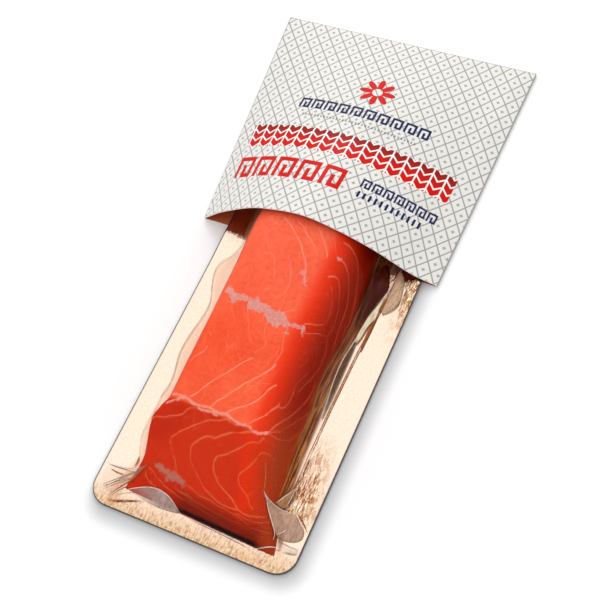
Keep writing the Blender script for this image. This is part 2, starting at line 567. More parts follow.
def fish_lines(ys):
    """Lines over the fish, one row a station, from the left foot over the top to the right foot."""
    columns = [smooth_line(FISH_SECTIONS[:, 0], FISH_SECTIONS[:, k], ys)[:, None] for k in range(1, 8)]
    left_foot, left_x, left_z, crown, right_x, right_z, right_foot = columns
    side = np.linspace(0, 1, SIDE_STEPS, endpoint=False)[None, :]
    top = np.linspace(0, 1, TOP_STEPS, endpoint=False)[None, :]
    last = np.linspace(0, 1, SIDE_STEPS + 1)[None, :]
    x = np.concatenate([
        left_foot + (left_x - left_foot) * side,
        left_x + (right_x - left_x) * top,
        right_x + (right_foot - right_x) * last,
    ], axis=1)
    z = np.concatenate([
        left_z * side,
        left_z + (right_z - left_z) * top + crown * 4 * top * (1 - top),
        right_z * (1 - last),
    ], axis=1)
    for _ in range(ROUNDING_PASSES):
        x[:, 1:-1] = (x[:, :-2] + 2 * x[:, 1:-1] + x[:, 2:]) / 4
        z[:, 1:-1] = (z[:, :-2] + 2 * z[:, 1:-1] + z[:, 2:]) / 4
    return x, z


def fish_points(ys):
    """Points on the fish, how far across it they lie from its back's middle, and height over the card."""
    x, z = fish_lines(ys)
    y = ys[:, None] + fish_skew(ys)[:, None] * x
    run = np.cumsum(np.hypot(np.diff(x), np.diff(z)), axis=1)
    run = np.concatenate([np.zeros((len(ys), 1)), run], axis=1)
    across = run - run[:, SIDE_STEPS + TOP_STEPS // 2][:, None]
    height = card_top(ys)[:, None] + FISH_GAP + z
    return np.stack([x, y, height], axis=-1), across, z


def away_from_line(places, line):
    """Distance of each place from a line through points."""
    best = np.full(places.shape[:-1], 1e3)
    for start, end in zip(line[:-1], line[1:]):
        run = end - start
        t = np.clip(((places - start) @ run) / max(run @ run, 1e-9), 0, 1)
        best = np.minimum(best, np.hypot(*np.moveaxis(places - (start + t[..., None] * run), -1, 0)))
    return best


def rounded_line(points, passes=2):
    """Line through points with its corners cut, for a soft run."""
    line = np.array(points, float)
    for _ in range(passes):
        cut = np.empty((2 * len(line) - 2, line.shape[1]))
        cut[0::2] = 0.75 * line[:-1] + 0.25 * line[1:]
        cut[1::2] = 0.25 * line[:-1] + 0.75 * line[1:]
        cut[0], cut[-1] = line[0], line[-1]
        line = cut
    return line


def nearest_strand(places, strands):
    """Distance from the nearest strand in shares of its width, and that strand's strength."""
    away = np.full(places.shape[:-1], 1e3)
    strength = np.zeros(places.shape[:-1])
    for width, power, points in strands:
        here = away_from_line(places, rounded_line(points)) / width
        strength = np.where(here < away, power, strength)
        away = np.minimum(away, here)
    return away, strength


def depth_in_outline(places, outline):
    """How deep inside an outline each place lies, negative outside it."""
    outline = np.array(outline + outline[:1], float)
    inside = np.zeros(places.shape[:-1], bool)
    x, y = places[..., 0], places[..., 1]
    for (x0, y0), (x1, y1) in zip(outline[:-1], outline[1:]):
        crosses = (y0 > y) != (y1 > y)
        inside ^= crosses & (x < (x1 - x0) * (y - y0) / (y1 - y0 if y1 != y0 else 1e-9) + x0)
    away = away_from_line(places, outline)
    return np.where(inside, away, -away)


stations = np.concatenate([
    np.arange(TOE_Y, TOE_END_Y, TOE_ROW),
    np.arange(TOE_END_Y, SEEN_END_Y, SEEN_ROW),
    np.arange(SEEN_END_Y, HIDDEN_END_Y, HIDDEN_ROW),
    [HIDDEN_END_Y],
])
skin, across_fish, over_card = fish_points(stations)
ways = np.stack([across_fish, np.repeat(stations[:, None], skin.shape[1], axis=1)], axis=-1)
strayed = ways
for waves, seed in ((BROAD_STRAY, 5), (FINE_STRAY, 7)):
    strayed = strayed + np.stack([noise_field(ways, *waves, seed + k) for k in (0, 1)], axis=-1)
fat_away, fat_strength = nearest_strand(strayed, FAT_LINES)
seam_away, _ = nearest_strand(strayed, SEAM_STRANDS)
tissue = np.max([depth_in_outline(ways, outline) for outline in TISSUE], axis=0)
swell = noise_field(skin, *BROAD_SWELL, 9) + noise_field(skin, *FINE_SWELL, 10)
groove = SEAM_RIDGE * np.exp(-((seam_away / STRAND_EDGE) ** 2))
groove = groove - FAT_GROOVE * np.exp(-((fat_away / STRAND_EDGE) ** 2)) * fat_strength
groove = groove + TISSUE_RISE * np.clip(tissue / SOFT_EDGE, 0, 1)
skin[..., 2] += (swell + groove) * np.clip(over_card / RELIEF_FADE, 0, 1)
cut_face = np.clip((CREASE_Y - ways[..., 1]) / SOFT_EDGE, 0, 1)

# The underside closes each section's loop
t = np.linspace(0, 1, UNDERSIDE_STEPS + 2)[1:-1][None, :, None]
underside = skin[:, -1:, :] * (1 - t) + skin[:, :1, :] * t


def with_underside(values, under):
    return np.concatenate([values, np.full((len(values), UNDERSIDE_STEPS), under)], axis=1)


fish_mesh = grid_mesh(
    "salmon_piece",
    lay(np.concatenate([skin, underside], axis=1)),
    {
        "fat": with_underside(fat_away, FAR_AWAY),
        "fat_strength": with_underside(fat_strength, 0.0),
        "seam": with_underside(seam_away, FAR_AWAY),
        "tissue": with_underside(tissue, -FAR_AWAY),
        "cut_face": with_underside(cut_face, 0.0),
        "over_card": with_underside(over_card, 0.0),
        "across": with_underside(across_fish, 40.0),
        "along": with_underside(ways[..., 1], 60.0),
    },
    ring=True,
)
shell = bmesh.new()
shell.from_mesh(fish_mesh)
bmesh.ops.holes_fill(shell, edges=[edge for edge in shell.edges if edge.is_boundary], sides=0)
bmesh.ops.recalc_face_normals(shell, faces=shell.faces)
shell.to_mesh(fish_mesh)
shell.free()
fish_mesh.shade_smooth()

FLESH_TOP = ((0.92, 0.088, 0.028), (1.0, 0.130, 0.050))
FLESH_CUT = ((0.54, 0.015, 0.002), (0.68, 0.030, 0.004))
FLESH_FAR = (1.0, 0.165, 0.085)
FLESH_MOTTLE = (1.0, 0.20, 0.09)
FLESH_FIBRE = (0.62, 0.022, 0.006)
FLESH_RIDGE = (0.90, 0.032, 0.003)
FLESH_LEFT_RIM = (0.50, 0.065, 0.055)
FLESH_SIDE = ((0.25, 0.008, 0.001), (0.36, 0.038, 0.007))
FAT_TOP = (1.0, 0.32, 0.19)
FAT_CUT = (0.84, 0.17, 0.055)
FAT_SIDE = (0.50, 0.085, 0.030)
VEIN_PALE = (1.0, 0.24, 0.11)
SEAM_PALE = (0.86, 0.36, 0.27)
TISSUE_TOP = ((0.66, 0.24, 0.20), (0.80, 0.40, 0.36))
TISSUE_CUT = (0.50, 0.17, 0.12)
FOOT_BROWN = ((0.15, 0.014, 0.002), (0.25, 0.050, 0.010))
FOOT_GOLD = (0.52, 0.21, 0.045)
TOE_GLOOM = (0.15, 0.008, 0.003)
TOE_DARK = (0.012, 0.004, 0.003)

flesh, tree, shader, place = new_material("salmon flesh")
fine = noise_texture(place, 650.0, 3.0, 0.6)
broad = step_between(noise_texture(place, 32.0, 2.0, 0.5), 0.35, 0.65)
mottle = noise_texture(place, 1100.0, 4.0, 0.65)
cut = attribute(tree, "cut_face")
over = attribute(tree, "over_card")
ridge = attribute(tree, "across")
along = attribute(tree, "along")

top_red = mix_colour(broad, *FLESH_TOP)
top_red = mix_colour(step_between(along, 85.0, 125.0, 0.0, 0.6), top_red, FLESH_FAR)
red = mix_colour(cut, top_red, mix_colour(broad, *FLESH_CUT))
red = mix_colour(step_between(mottle, 0.5, 0.75, 0.0, 0.34), red, FLESH_MOTTLE)
red = mix_colour(step_between(fine, 0.32, 0.62, 0.30, 0.0), red, FLESH_FIBRE)
red = mix_colour(step_between(ridge, 13.0, 21.0, 0.0, 0.92), red, FLESH_RIDGE)
left_rim = times(step_between(ridge, -20.0, -27.0, 0.0, 0.45), minus(1.0, cut))
red = mix_colour(left_rim, red, FLESH_LEFT_RIM)
side_dark = step_between(ridge, 15.0, 37.0)
red = mix_colour(side_dark, red, mix_colour(step_between(along, 75.0, 40.0), *FLESH_SIDE))


def frayed(distance, amount):
    """Distance inside or from a line, with the fine noise in it so that edges look torn."""
    return calc("MULTIPLY_ADD", minus(fine, 0.5), amount, distance)


fat = step_between(frayed(attribute(tree, "fat"), 0.9), 0.48, 0.08)
fat = times(fat, calc("MULTIPLY_ADD", attribute(tree, "fat_strength"), 0.75, 0.25))
fat = times(fat, step_between(fine, 0.25, 0.55, 0.55, 1.0))
fat_colour = mix_colour(side_dark, mix_colour(cut, FAT_TOP, FAT_CUT), FAT_SIDE)
red = mix_colour(times(fat, 0.82), red, fat_colour)

veins = node(tree, "ShaderNodeTexVoronoi", {"Vector": place, "Scale": 190.0}, feature="DISTANCE_TO_EDGE")
vein = step_between(veins.outputs[0], 0.035, 0.0)
vein = times(vein, step_between(noise_texture(place, 75.0, 2.0, 0.5), 0.49, 0.64, 0.0, 0.6))
vein = times(vein, step_between(ridge, 24.0, 12.0))
red = mix_colour(times(vein, step_between(over, 15.0, 20.0)), red, VEIN_PALE)

seam = times(step_between(frayed(attribute(tree, "seam"), 1.5), 0.60, 0.10), 0.80)
red = mix_colour(seam, red, SEAM_PALE)
patch = step_between(frayed(attribute(tree, "tissue"), 5.0), -0.25, 0.45, 0.0, 0.88)
patch_colour = mix_colour(step_between(mottle, 0.35, 0.7), *TISSUE_TOP)
red = mix_colour(patch, red, mix_colour(cut, patch_colour, TISSUE_CUT))

streak = noise_texture(drawn_out(place, 0.04), 700.0, 2.0, 0.5)
brownish = mix_colour(step_between(along, 112.0, 60.0), *FOOT_BROWN)
gold = times(step_between(streak, 0.50, 0.62), step_between(along, 120.0, 50.0, 0.1, 0.55))
brownish = mix_colour(gold, brownish, FOOT_GOLD)
foot = times(step_between(over, 6.0, 0.5), step_between(ridge, 34.0, 39.0))
foot = times(foot, step_between(along, 20.0, 32.0))
red = mix_colour(foot, red, brownish)
under = times(step_between(ridge, -18.0, -6.0), step_between(ridge, 34.0, 27.0))
red = mix_colour(times(step_between(along, 20.5, 12.0, 0.0, 0.85), under), red, TOE_GLOOM)
red = mix_colour(times(step_between(along, 11.3, 9.9), under), red, TOE_DARK)
height = calc("MULTIPLY_ADD", fat, -0.5, times(mottle, 0.4))
give(shader, {
    "Base Color": red,
    "Normal": bumped(height, 0.3, 0.0003),
    "Roughness": 0.5,
    "Specular IOR Level": 0.0,
    "Subsurface Weight": 0.2,
    "Subsurface Radius": (1.0, 0.35, 0.2),
    "Subsurface Scale": 0.003,
})

salmon = add_piece("salmon_piece", fish_mesh, [flesh])
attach(salmon, "root")
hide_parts("salmon_fillet")


# Skin film: one clear sheet drawn down by vacuum over the fish and sealed to the card all round.
# It lies tight on the fish, and bridges the corner between its foot and the card in a small tent,
# whose edge on the card runs in waves.

FILM_THICKNESS = 0.10
FILM_GAP = 0.32
FILM_INSET = 0.5
FILM_START_Y = 1.0
FILM_END_Y = 237.2
LEFT_TENT_FOOT = np.array((
    (1.0, -41.0), (9.0, -40.5), (16.0, -38.0), (25.0, -35.9), (30.0, -37.6), (36.0, -39.4), (42.0, -39.7),
    (50.0, -39.4), (57.0, -39.7), (62.0, -38.5), (68.0, -39.2), (74.0, -40.5), (80.0, -41.7), (89.0, -41.3),
    (98.0, -39.9), (105.0, -39.3), (110.0, -40.4), (116.0, -43.1), (124.0, -45.3), (130.0, -44.1),
    (134.0, -41.0), (140.0, -38.9), (152.0, -39.4), (228.0, -39.6),
))
RIGHT_TENT_FOOT = np.array((
    (1.0, 41.0), (9.0, 45.0), (18.0, 42.0), (28.0, 37.0), (38.0, 36.4), (68.0, 35.8),
    (98.0, 35.8), (126.0, 38.0), (139.0, 38.6), (152.0, 38.2), (228.0, 37.0),
))
RIM_STEPS = 8
TENT_STEPS = 8
LEAVES_LEFT_SIDE = 14
LEAVES_RIGHT_SIDE = 5
MEETS_CARD = 5.0
TENT_SAG = 2.2
RIM_WIDTH = 1.5
HANG_START = 0.12
HANG_SPAN = 0.8
FOOT_CLOUDING = 0.1
CLOUDING_RISE = 3.0
CLOUDING_DELAY = 0.9
FILM_START_ROWS = 12
FILM_END_ROWS = 8
CLEAR_TOE = 12.0
MIRROR_HEAD_ON = 0.0035
MIRROR_AT_GRAZING = 0.012
LEFT_VEIL = 0.18
RIGHT_VEIL = 0.72
VEIL_PALE = (1.0, 0.62, 0.37)
VEIL_BROWN = (0.21, 0.036, 0.005)
VEIL_GOLD = (0.60, 0.26, 0.065)


def film_points(ys):
    """Points of the film's underside, and where it hangs free left and right of the fish."""
    x, z = fish_lines(np.clip(ys, TOE_Y, HIDDEN_END_Y))
    dx, dz = np.gradient(x, axis=1), np.gradient(z, axis=1)
    length = np.hypot(dx, dz)
    x, z = x - dz / length * FILM_GAP, z + dx / length * FILM_GAP
    past = np.maximum(np.maximum(TOE_Y - ys, ys - HIDDEN_END_Y), 0.0)[:, None]
    z = z * np.clip(1 - past / MEETS_CARD, 0, 1)
    held = slice(LEAVES_LEFT_SIDE, -LEAVES_RIGHT_SIDE, 2)
    x, z = x[:, held], z[:, held]
    rim = card_half_width(ys, FILM_INSET)[:, None]
    foot_l = np.maximum(smooth_line(*LEFT_TENT_FOOT.T, ys)[:, None], RIM_WIDTH - rim)
    foot_r = np.minimum(smooth_line(*RIGHT_TENT_FOOT.T, ys)[:, None], rim - RIM_WIDTH)
    out = np.linspace(0, 1, RIM_STEPS, endpoint=False)[None, :]
    climb = np.linspace(0, 1, TENT_STEPS, endpoint=False)[None, :]
    flat = np.zeros((len(ys), RIM_STEPS))
    hang = np.zeros((len(ys), TENT_STEPS)) + np.sin(math.pi * (HANG_START + HANG_SPAN * climb))
    all_x = np.concatenate([
        -rim + (foot_l + rim) * out,
        foot_l + (x[:, :1] - foot_l) * climb,
        x,
        x[:, -1:] + (foot_r - x[:, -1:]) * (1 - climb[:, ::-1]),
        foot_r + (rim - foot_r) * (1 - out[:, ::-1]),
    ], axis=1)
    left_rise, right_rise = z[:, :1] * climb**TENT_SAG, z[:, -1:] * climb[:, ::-1] ** TENT_SAG
    all_z = np.concatenate([flat, left_rise, z, right_rise, flat], axis=1)
    free_left = np.concatenate([flat, hang, np.zeros_like(x), 0 * hang, flat], axis=1)
    clouded = np.clip(CLOUDING_RISE * climb - CLOUDING_DELAY, 0, 1)
    clouding = (hang * (FOOT_CLOUDING + (1 - FOOT_CLOUDING) * clouded))[:, ::-1]
    clouding = clouding * np.clip((ys[:, None] - TOE_Y) / CLEAR_TOE, 0, 1)
    free_right = np.concatenate([flat, 0 * hang, np.zeros_like(x), clouding, flat], axis=1)
    share = (ys - FILM_START_Y) / (TOE_Y - FILM_START_Y)
    skew = np.where(ys > TOE_Y, fish_skew(ys), CARD_EDGE_SLANT + (FISH_SKEW - CARD_EDGE_SLANT) * share)
    height = card_top(ys)[:, None] + FISH_GAP + np.maximum(all_z, 0.0)
    y = ys[:, None] + skew[:, None] * all_x
    return np.stack([all_x, y, height], axis=-1), free_left, free_right


film_rows = np.concatenate([
    np.linspace(FILM_START_Y, TOE_Y, FILM_START_ROWS)[:-1],
    stations[::2],
    np.linspace(HIDDEN_END_Y, FILM_END_Y, FILM_END_ROWS)[1:],
])
film, free_left, free_right = film_points(film_rows)

clear, tree, shader, place = new_material("clear film")
facing = node(tree, "ShaderNodeLayerWeight", {"Blend": 0.5}).outputs["Facing"]
mirror = calc("MULTIPLY_ADD", calc("POWER", facing, 4.0), MIRROR_AT_GRAZING, MIRROR_HEAD_ON)
left, right = attribute(tree, "free_left"), attribute(tree, "free_right")
veil = calc("MAXIMUM", times(left, LEFT_VEIL), times(right, RIGHT_VEIL))
tinted = calc("DIVIDE", veil, plus(mirror, veil, 0.001))
lines = noise_texture(drawn_out(place, 0.05, 0.04), 1150.0, 2.0, 0.5)
golden = step_between(attribute(tree, "along"), 130.0, 60.0, 0.25, 1.0)
golden = times(step_between(lines, 0.44, 0.62), golden)
brown = mix_colour(golden, VEIL_BROWN, VEIL_GOLD)
haze = mix_colour(step_between(right, 0.1, 0.3), VEIL_PALE, brown)
give(shader, {
    "Base Color": mix_colour(tinted, (1.0, 1.0, 1.0), haze),
    "Alpha": plus(mirror, veil),
    "Metallic": minus(1.0, tinted),
    "Normal": bumped(noise_texture(place, 130.0, 3.0, 0.5), 0.25, 0.0008),
    "Roughness": 0.10,
    "Specular IOR Level": 0.0,
})

film_places = {
    "free_left": free_left,
    "free_right": free_right,
    "along": np.broadcast_to(film_rows[:, None], free_left.shape),
}
skin_film = add_piece("skin_film", grid_mesh("skin_film", lay(film), film_places), [clear])
give_wall(skin_film, FILM_THICKNESS, 1.0)
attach(skin_film, "root")
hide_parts("clear_film")


# Film blisters: places where the film stands off card and fish as small domes and cones, by the
# sleeve, beside the fish's right foot and at both ends of its toe. They look milky, golden or brown.

BLISTER_THICKNESS = 0.06
BLISTER_RINGS = 8
BLISTER_LIGHT = 1.15
BLISTER_DARK = 0.80

# Name, height of the dome, opacity, colour, the way in which it grows denser, if any, and the rim
BLISTERS = (
    ("cavity", 1.4, 0.92, (0.085, 0.012, 0.005), (0, 1), (
        (28.8, 152.5, 3.0), (31.6, 151.8, 3.0), (34.0, 150.5, 2.6), (36.0, 145.1, 2.4), (37.5, 140.7, 2.2),
        (35.7, 134.0, 2.2), (34.3, 128.0, 2.2), (32.7, 120.9, 2.2), (31.6, 112.0, 2.0), (30.6, 114.0, 2.5),
        (30.2, 119.3, 3.5), (29.8, 124.0, 4.5), (29.6, 129.7, 6.0), (29.5, 136.2, 7.0), (29.3, 143.9, 7.0),
    )),
    ("by_sleeve", 0.8, 0.42, (0.80, 0.50, 0.31), (0, 0), (
        (38.7, 152.0, 2.1), (42.4, 147.5, 2.0), (44.2, 140.4, 1.8), (44.6, 135.1, 1.7), (43.0, 130.5, 1.6),
        (38.3, 126.4, 1.6), (38.9, 135.8, 2.0), (38.7, 146.2, 2.2),
    )),
    ("lens", 0.3, 0.80, (0.42, 0.13, 0.030), (0, 0), (
        (38.7, 136.9, 1.8), (38.7, 132.6, 1.7), (38.4, 128.7, 1.6), (37.9, 127.4, 1.6), (37.2, 130.3, 1.8),
        (37.6, 134.2, 2.0),
    )),
    ("long_lens", 0.3, 0.75, (0.42, 0.13, 0.030), (0, 0), (
        (37.8, 125.2, 1.6), (38.0, 119.8, 1.6), (37.8, 113.3, 1.6), (37.5, 106.0, 1.6), (36.8, 108.0, 1.9),
        (36.5, 114.9, 1.9), (36.3, 121.3, 1.9),
    )),
    ("ribbon", 0.3, 0.82, (1.0, 0.79, 0.57), (0, 0), (
        (37.4, 136.0, 2.4), (36.4, 131.3, 2.5), (35.2, 128.1, 2.6), (34.2, 124.4, 2.6), (33.7, 119.8, 2.6),
        (33.1, 115.4, 2.6), (33.0, 110.5, 2.6), (33.8, 109.5, 2.5), (34.9, 112.2, 2.4), (35.3, 116.0, 2.4),
        (35.8, 119.9, 2.4), (37.0, 122.9, 2.2), (37.9, 125.2, 2.1), (37.8, 126.8, 2.1), (37.1, 129.2, 2.2),
        (37.4, 132.8, 2.3),
    )),
    ("by_foot", 0.7, 0.78, (0.15, 0.080, 0.036), (-1, 0), (
        (33.7, 111.5, 2.2), (32.6, 106.2, 2.4), (32.0, 100.6, 2.6), (32.0, 93.7, 2.6), (32.3, 87.7, 2.6),
        (33.0, 81.3, 2.4), (33.6, 74.8, 2.2), (33.9, 69.9, 1.9), (34.6, 71.8, 1.7), (34.8, 78.0, 1.7),
        (34.8, 84.7, 1.7), (34.6, 91.9, 1.7), (34.4, 99.2, 1.7), (34.2, 106.6, 1.7),
    )),
    ("toe_arch", 0.6, 0.50, (0.62, 0.47, 0.42), (0.5, 0.8), (
        (-31.6, 10.5, 2.8), (-28.6, 12.2, 3.9), (-23.6, 14.0, 5.2), (-18.8, 14.6, 5.8), (-14.5, 13.9, 5.6),
        (-11.0, 12.5, 4.9), (-8.3, 10.5, 3.9), (-6.7, 9.1, 1.7), (-10.1, 8.6, 1.6), (-14.4, 8.2, 1.6),
        (-18.9, 8.2, 1.6), (-23.1, 8.6, 1.6), (-27.7, 9.6, 1.6),
    )),
    ("toe_cone", 0.4, 0.52, (0.66, 0.40, 0.28), (0, 0), (
        (28.0, 27.4, 13.2), (30.3, 25.7, 11.4), (33.1, 25.1, 7.3), (36.0, 25.3, 3.8), (41.3, 26.2, 1.7),
        (45.0, 23.3, 1.6), (48.0, 20.2, 1.6), (48.0, 16.5, 1.6), (44.3, 14.4, 1.6), (40.4, 14.0, 1.9),
        (37.5, 14.6, 3.2), (34.5, 18.5, 6.6), (31.5, 22.5, 10.2),
    )),
    ("toe_lobe", 0.3, 0.50, (0.60, 0.30, 0.13), (0, 0), (
        (32.9, 26.5, 7.2), (34.8, 33.0, 3.0), (36.5, 37.1, 1.7), (36.6, 31.6, 1.7), (36.5, 26.9, 2.6),
        (34.5, 25.9, 4.4),
    )),
    ("left_fan", 0.2, 0.15, (0.95, 0.50, 0.34), (1, 0), (
        (-26.9, 22.5, 8.9), (-30.2, 20.1, 7.2), (-37.6, 19.6, 2.2), (-47.6, 18.6, 1.6), (-47.8, 13.7, 1.6),
        (-45.3, 8.6, 1.6), (-40.9, 6.0, 1.6), (-38.3, 9.1, 1.7), (-35.4, 12.5, 2.2), (-31.6, 14.7, 5.0),
    )),
    ("corner_fan", 0.2, 0.22, (0.98, 0.80, 0.66), (1, 0), (
        (41.2, 11.6, 1.8), (45.3, 12.2, 1.7), (48.6, 12.5, 1.6), (48.8, 10.3, 1.6), (45.9, 9.7, 1.6),
        (42.9, 9.4, 1.8),
    )),
)

for name, crown, alpha, colour, dense_way, outline in BLISTERS:
    loop = rounded_line(outline + outline[:1], 1)[:-1]
    middle = loop.mean(axis=0)
    spread = np.linspace(0, 1, BLISTER_RINGS)[:, None, None]
    dome = middle + (loop - middle) * spread
    dome[..., 2] += crown * (1 - spread[..., 0] ** 2)
    dense = dome[..., :2] @ np.array(dense_way, float)
    dense = (dense - dense.min()) / np.ptp(dense) if any(dense_way) else np.ones_like(dense)
    mesh = grid_mesh(f"film_{name}", lay(dome), {"dense": dense}, ring=True)
    sheet = bmesh.new()
    sheet.from_mesh(mesh)
    bmesh.ops.remove_doubles(sheet, verts=sheet.verts, dist=1e-6)
    bmesh.ops.recalc_face_normals(sheet, faces=sheet.faces)
    if sum(face.normal.z for face in sheet.faces) < 0:
        bmesh.ops.reverse_faces(sheet, faces=sheet.faces)
    sheet.to_mesh(mesh)
    sheet.free()
    milky, tree, shader, place = new_material(f"film {name}")
    streaks = noise_texture(drawn_out(place, 0.3, 0.5, 0.6), 520.0, 3.0, 0.6)
    light = [min(1.0, BLISTER_LIGHT * c) for c in colour]
    dark = [BLISTER_DARK * c for c in colour]
    clouded = times(step_between(streaks, 0.3, 0.7, 0.85, 1.08), alpha)
    give(shader, {
        "Base Color": mix_colour(step_between(streaks, 0.3, 0.7), dark, light),
        "Alpha": times(clouded, step_between(attribute(tree, "dense"), 0.0, 0.8, 0.2, 1.0)),
        "Roughness": 0.22,
        "Specular IOR Level": 0.1,
    })
    blister = add_piece(f"film_{name}", mesh, [milky])
    give_wall(blister, BLISTER_THICKNESS, 1.0)
    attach(blister, "root")


# Film creases: fine folds where the vacuum pulled the sheet together, along the tents' edges, the
# blisters' rims and the corners of the card. Each is a thin ridge of doubled film, and there are
# four groups: white where the folds catch the light, amber and gold in the tents, grey elsewhere.

CREASE_STEP = 0.8
CREASE_TIP = 0.3
CREASE_DARK = 0.7
CREASE_THIN = 0.5
WHITE_CREASES = (
    ((-48.1, 18.7, 1.7), (-42.4, 18.7, 1.8), (-36.6, 19.5, 2.3), (-30.3, 20.3, 7.4)),
    ((-37.5, 6.4, 1.8), (-35.9, 8.4, 1.9), (-31.7, 10.9, 3.2), (-28.6, 12.2, 4.1), (-23.6, 14.0, 5.4),
     (-18.8, 14.6, 6.0), (-14.5, 13.9, 5.8), (-11.0, 12.5, 5.1), (-8.3, 10.5, 4.1), (-6.2, 9.2, 2.0)),
    ((-2.1, 8.6, 1.9), (2.0, 8.2, 1.9), (11.4, 7.6, 1.8), (19.8, 6.9, 1.8), (28.2, 5.9, 1.8)),
    ((31.6, 6.5, 1.8), (35.5, 8.0, 3.8), (38.4, 9.6, 3.2), (40.8, 10.0, 1.9)),
    ((27.9, 27.8, 13.5), (30.3, 25.7, 11.6), (33.1, 25.1, 7.5), (36.1, 25.2, 4.1), (41.4, 26.2, 1.8)),
    ((28.4, 27.0, 13.1), (30.6, 24.9, 11.2), (33.5, 24.2, 7.2), (36.6, 24.3, 4.0), (41.7, 25.6, 1.8)),
    ((41.4, 26.2, 1.8), (45.0, 23.3, 1.8), (48.2, 20.1, 1.8)),
    ((30.3, 24.8, 11.4), (31.5, 22.5, 10.2), (34.5, 18.5, 6.6), (37.1, 15.0, 3.5), (37.4, 12.2, 3.9)),
    ((37.6, 14.5, 3.9), (40.3, 17.0, 3.7), (41.5, 21.3, 3.1), (41.7, 25.4, 2.2)),
    ((32.9, 26.5, 7.3), (34.8, 33.0, 3.2), (36.5, 37.0, 1.9)),
    ((36.5, 37.0, 1.9), (36.4, 32.0, 1.9), (36.3, 27.3, 2.8)),
    ((39.1, 152.0, 2.2), (38.0, 143.5, 2.3), (37.9, 139.0, 2.2), (36.6, 133.2, 2.2), (35.6, 127.4, 2.1),
     (34.4, 121.4, 2.1), (33.3, 114.8, 2.0), (32.4, 106.4, 2.5), (31.7, 100.6, 2.8), (31.7, 93.7, 2.8),
     (32.1, 87.7, 2.8), (32.8, 81.3, 2.6), (33.5, 74.8, 2.3), (33.8, 69.9, 2.0)),
)
AMBER_CREASES = (
    ((38.1, 149.5, 2.2), (38.6, 145.0, 2.2), (38.4, 138.2, 2.2), (37.9, 132.0, 2.2), (37.6, 125.6, 2.2),
     (37.5, 118.7, 2.2), (36.6, 110.2, 2.2), (36.2, 99.4, 2.2), (36.0, 88.9, 2.2), (35.8, 79.5, 2.2),
     (35.7, 70.8, 2.2), (35.7, 60.7, 2.2), (35.6, 52.2, 2.2), (35.8, 43.0, 2.2), (36.2, 36.7, 2.2)),
    ((-27.3, 22.2, 8.8), (-31.6, 14.7, 4.9), (-35.4, 12.5, 2.2), (-40.3, 5.3, 1.8)),
    ((-35.5, 26.3, 1.8), (-35.0, 23.2, 1.8), (-35.4, 21.3, 1.8)),
    ((-39.6, 3.1, 1.8), (-33.2, 5.3, 1.8), (-25.2, 8.2, 1.8)),
    ((41.7, 26.9, 1.8), (45.5, 24.3, 1.8), (48.8, 20.9, 1.8)),
)
GOLD_CREASES = (
    ((24.9, 38.0, 18.3), (26.2, 34.9, 16.7), (27.3, 31.2, 15.0), (27.9, 27.8, 13.5)),
    ((30.7, 55.2, 4.2), (31.1, 49.0, 4.2), (31.7, 42.8, 5.3), (32.4, 35.1, 5.8), (32.9, 29.2, 6.5)),
    ((32.0, 66.0, 2.3), (31.7, 60.0, 2.4), (31.6, 55.8, 2.6), (32.1, 50.2, 2.3), (32.6, 44.1, 3.1),
     (33.0, 38.1, 3.7), (33.7, 31.5, 4.1)),
    ((-45.0, 16.8, 1.7), (-41.5, 16.2, 1.7), (-38.0, 16.4, 1.8)),
)
GREY_CREASES = (
    ((38.4, 13.2, 2.2), (43.8, 12.5, 1.8), (48.8, 12.6, 1.8)),
    ((42.5, 9.3, 1.8), (46.0, 9.7, 1.8), (48.8, 10.3, 1.8)),
    ((-37.3, 146.5, 2.1), (-38.6, 139.5, 2.0), (-40.2, 134.0, 1.8), (-44.1, 129.7, 1.7), (-45.3, 124.4, 1.7),
     (-43.1, 116.4, 1.7), (-40.4, 110.5, 1.7), (-39.2, 105.2, 1.7), (-39.8, 97.7, 1.7), (-41.2, 88.9, 1.7),
     (-41.7, 80.4, 1.7), (-40.5, 73.8, 1.7), (-39.0, 67.8, 1.7), (-38.5, 61.6, 1.7), (-39.7, 56.9, 1.7),
     (-39.2, 49.2, 1.7), (-39.7, 41.7, 1.7), (-39.4, 36.1, 1.7), (-37.3, 30.2, 1.7), (-34.9, 25.0, 1.7)),
    ((42.4, 147.5, 2.1), (44.2, 140.4, 2.0), (44.6, 135.1, 1.9), (43.0, 130.5, 1.8), (38.3, 126.4, 1.8)),
    ((-27.3, 22.2, 8.9), (-30.3, 19.2, 7.0), (-35.2, 17.3, 2.7), (-45.6, 8.3, 1.8)),
    ((-27.8, 21.4, 8.5), (-31.0, 18.2, 6.4), (-35.8, 16.2, 2.6), (-44.6, 7.3, 1.8)),
)

crease_tree = bpy.data.node_groups.new("film crease", "GeometryNodeTree")
face = crease_tree.interface
face.new_socket("Geometry", in_out="INPUT", socket_type="NodeSocketGeometry")
width_id = face.new_socket("Width", in_out="INPUT", socket_type="NodeSocketFloat").identifier
step_id = face.new_socket("Step", in_out="INPUT", socket_type="NodeSocketFloat").identifier
finish_id = face.new_socket("Material", in_out="INPUT", socket_type="NodeSocketMaterial").identifier
face.new_socket("Geometry", in_out="OUTPUT", socket_type="NodeSocketGeometry")
given = node(crease_tree, "NodeGroupInput")
line = node(crease_tree, "GeometryNodeMeshToCurve", {"Mesh": given.outputs["Geometry"]})
steps = {"Curve": line.outputs[0], "Length": given.outputs["Step"]}
even = node(crease_tree, "GeometryNodeResampleCurve", steps, mode="LENGTH")
along = node(crease_tree, "GeometryNodeSplineParameter").outputs["Factor"]
swelling = calc("MULTIPLY_ADD", calc("SINE", times(along, math.pi)), 1 - CREASE_TIP, CREASE_TIP)
radius = times(swelling, given.outputs["Width"])
thick = node(crease_tree, "GeometryNodeSetCurveRadius", {"Curve": even.outputs[0], "Radius": radius})
